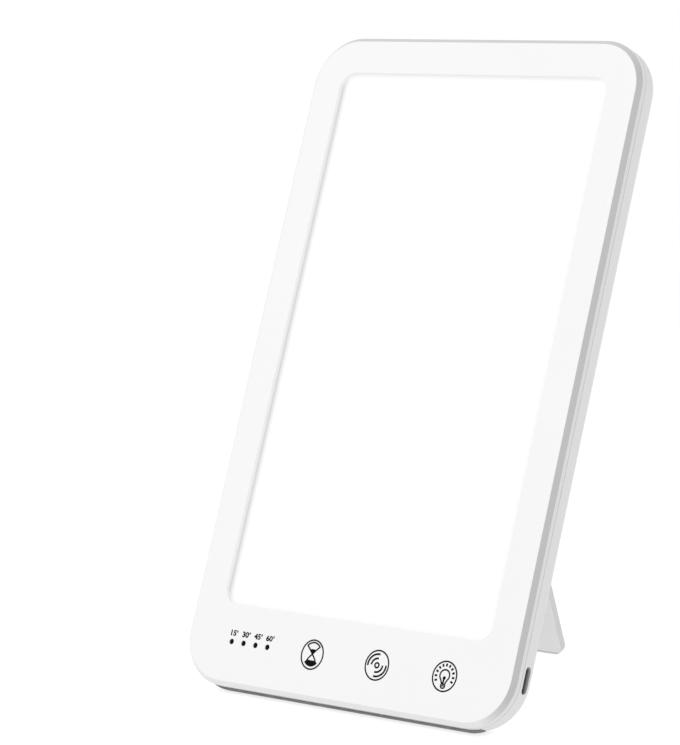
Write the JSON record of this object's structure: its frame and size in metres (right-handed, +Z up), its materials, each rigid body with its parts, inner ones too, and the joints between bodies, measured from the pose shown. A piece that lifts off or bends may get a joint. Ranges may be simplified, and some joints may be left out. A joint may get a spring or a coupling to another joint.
{
  "type": "light therapy lamp",
  "caption": "Slim upright light therapy panel with an opal edge-lit window, touch keys and timer dots below it, leaning on a fold-out rear stand.",
  "frame": {"origin": "on the surface that the lamp stands on, under the middle of its bounding box", "axes": "+Z up, +X to the right of someone facing the lit window, +Y away from them; the panel leans back towards +Y"},
  "size_m": [0.138, 0.1084, 0.2163],
  "materials": {
    "bezel_white": "glossy white moulding",
    "cover_white": "satin white moulding",
    "opal_diffuser": "opal acrylic, lit",
    "film": "white film",
    "clear_acrylic": "polished clear acrylic",
    "aluminium_tray": "mill finish",
    "circuit_white": "white solder mask",
    "circuit_green": "green solder mask",
    "flat_lead": "amber film",
    "nylon": "natural nylon",
    "conductive_foam": "open foam",
    "smoked_lens": "polished smoked acrylic",
    "port_steel": "drawn steel",
    "port_black": "moulded black",
    "screw_steel": "zinc plated",
    "grey_rubber": "matt",
    "pale_rubber": "matt"
  },
  "bodies": {
    "case": {"front_bezel": "bezel_white", "rear_cover": "cover_white", "diffuser_panel": "opal_diffuser", "diffuser_film": "film", "light_guide_plate": "clear_acrylic", "reflector_sheet": "film", "heat_spreader_tray": "aluminium_tray", "led_strip_left": "circuit_white", "led_strip_right": "circuit_white", "led_lead_left": "flat_lead", "led_lead_right": "flat_lead", "hinge_washer_left": "nylon", "hinge_washer_right": "nylon", "control_board": "circuit_green", "touch_pad_timer": "conductive_foam", "touch_pad_program": "conductive_foam", "touch_pad_brightness": "conductive_foam", "timer_light_pipe": "smoked_lens", "usb_c_shell": "port_steel", "usb_c_tongue": "port_black", "case_screw_bottom_left": "screw_steel", "case_screw_bottom_right": "screw_steel", "case_screw_top_left": "screw_steel", "case_screw_top_right": "screw_steel", "board_screw_left": "screw_steel", "board_screw_right": "screw_steel", "foot_strip": "grey_rubber", "hinge_pin": "screw_steel"},
    "stand": {"stand_plate": "cover_white", "stand_foot_pad": "pale_rubber"}
  },
  "joints": [
    {"name": "stand_hinge", "type": "hinge", "parent": "case", "child": "stand", "pos_m": [0, 0.00892, 0.11439], "axis": [1, 0, 0], "range_deg": [-42, 0]}
  ]
}
